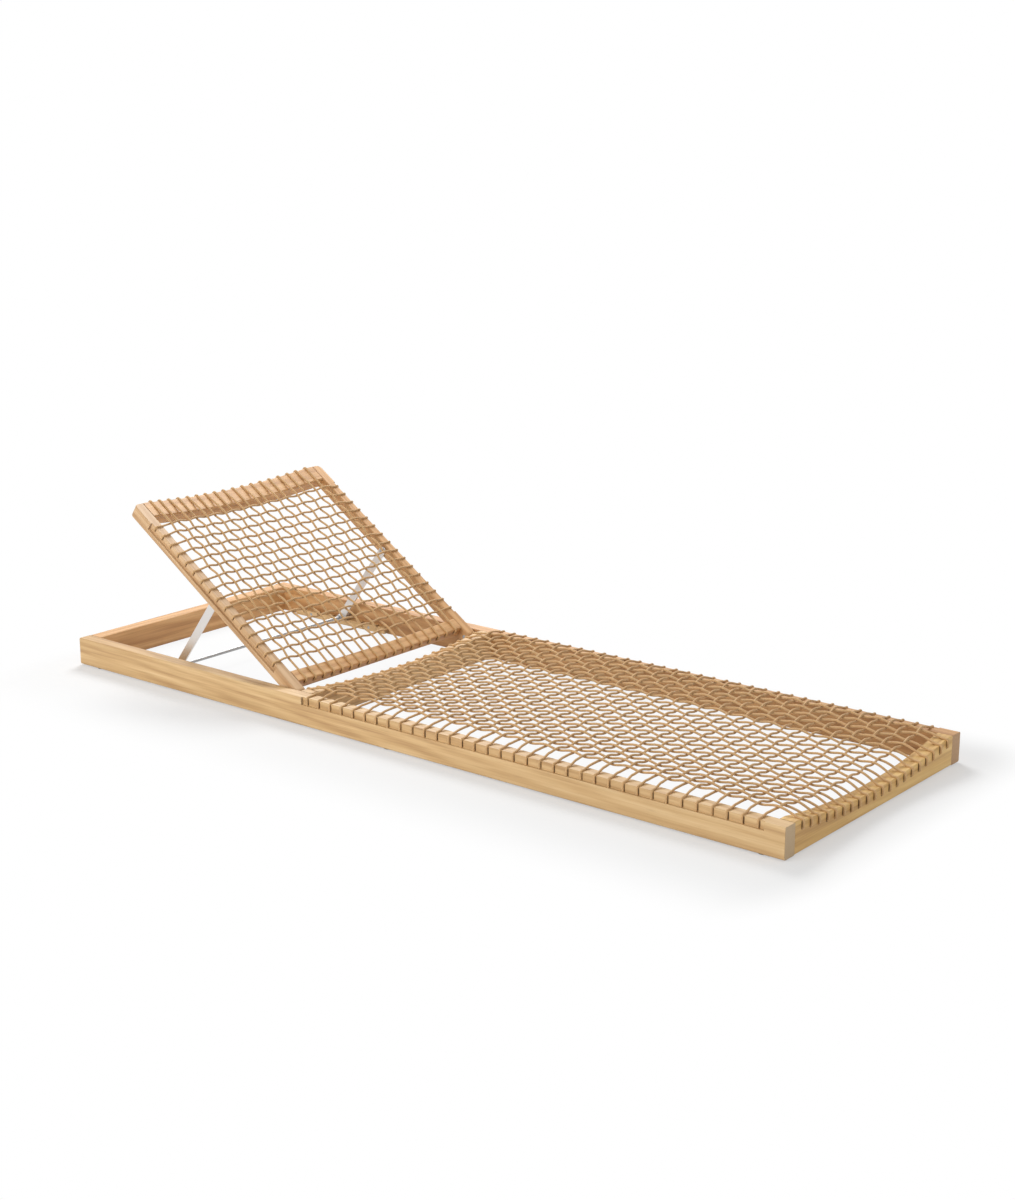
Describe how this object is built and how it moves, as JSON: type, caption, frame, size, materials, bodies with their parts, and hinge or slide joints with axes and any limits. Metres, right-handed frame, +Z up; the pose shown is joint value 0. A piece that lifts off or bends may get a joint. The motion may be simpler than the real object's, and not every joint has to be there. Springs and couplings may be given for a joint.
{
  "type": "sun lounger",
  "caption": "Low wooden sun lounger with a woven cord seat and an adjustable corded backrest, propped by a folding metal stay on notched racks.",
  "frame": {"origin": "on the floor, under the centre of the frame's footprint", "axes": "+X to the foot end, +Y to the sitter's left, +Z up; as pictured"},
  "size_m": [2, 0.7, 0.4255],
  "materials": {
    "teak": "oiled",
    "cord": "braided",
    "steel": "brushed",
    "aluminium": "satin",
    "brass": "plain",
    "plastic": "matte"
  },
  "bodies": {
    "base": {"side_rail_right": "teak", "side_rail_left": "teak", "head_rail": "teak", "middle_rail": "teak", "foot_rail": "teak", "rack_right": "teak", "rack_left": "teak", "rack_screws": "steel", "floor_glides": "plastic", "pivot_bushes": "plastic", "seat_cords_crosswise": "cord", "seat_cords_lengthwise": "cord", "seat_cord_ends": "cord"},
    "backrest": {"back_stile_right": "teak", "back_stile_left": "teak", "back_bottom_rail": "teak", "back_top_rail": "teak", "back_cords_crosswise": "cord", "back_cords_lengthwise": "cord", "back_cord_ends": "cord", "pivot_pins": "steel", "stay_inserts": "brass", "stay_bolts": "steel", "stay_washers": "plastic"},
    "stay": {"stay_arm_right": "aluminium", "stay_arm_left": "aluminium", "stay_rod": "steel", "rod_collars": "steel"}
  },
  "joints": [
    {"name": "backrest_hinge", "type": "hinge", "parent": "base", "child": "backrest", "pos_m": [-0.3084, 0, 0.053], "axis": [0, 1, 0], "range_deg": [-34.2, 8.9]},
    {"name": "stay_hinge", "type": "hinge", "parent": "backrest", "child": "stay", "pos_m": [-0.57307, 0, 0.23287], "axis": [0, -1, 0], "range_deg": [-83.1, 21.8]}
  ],
  "couplings": [
    {"joint": "stay_hinge", "follows": "backrest_hinge", "ratio": 2.424}
  ]
}
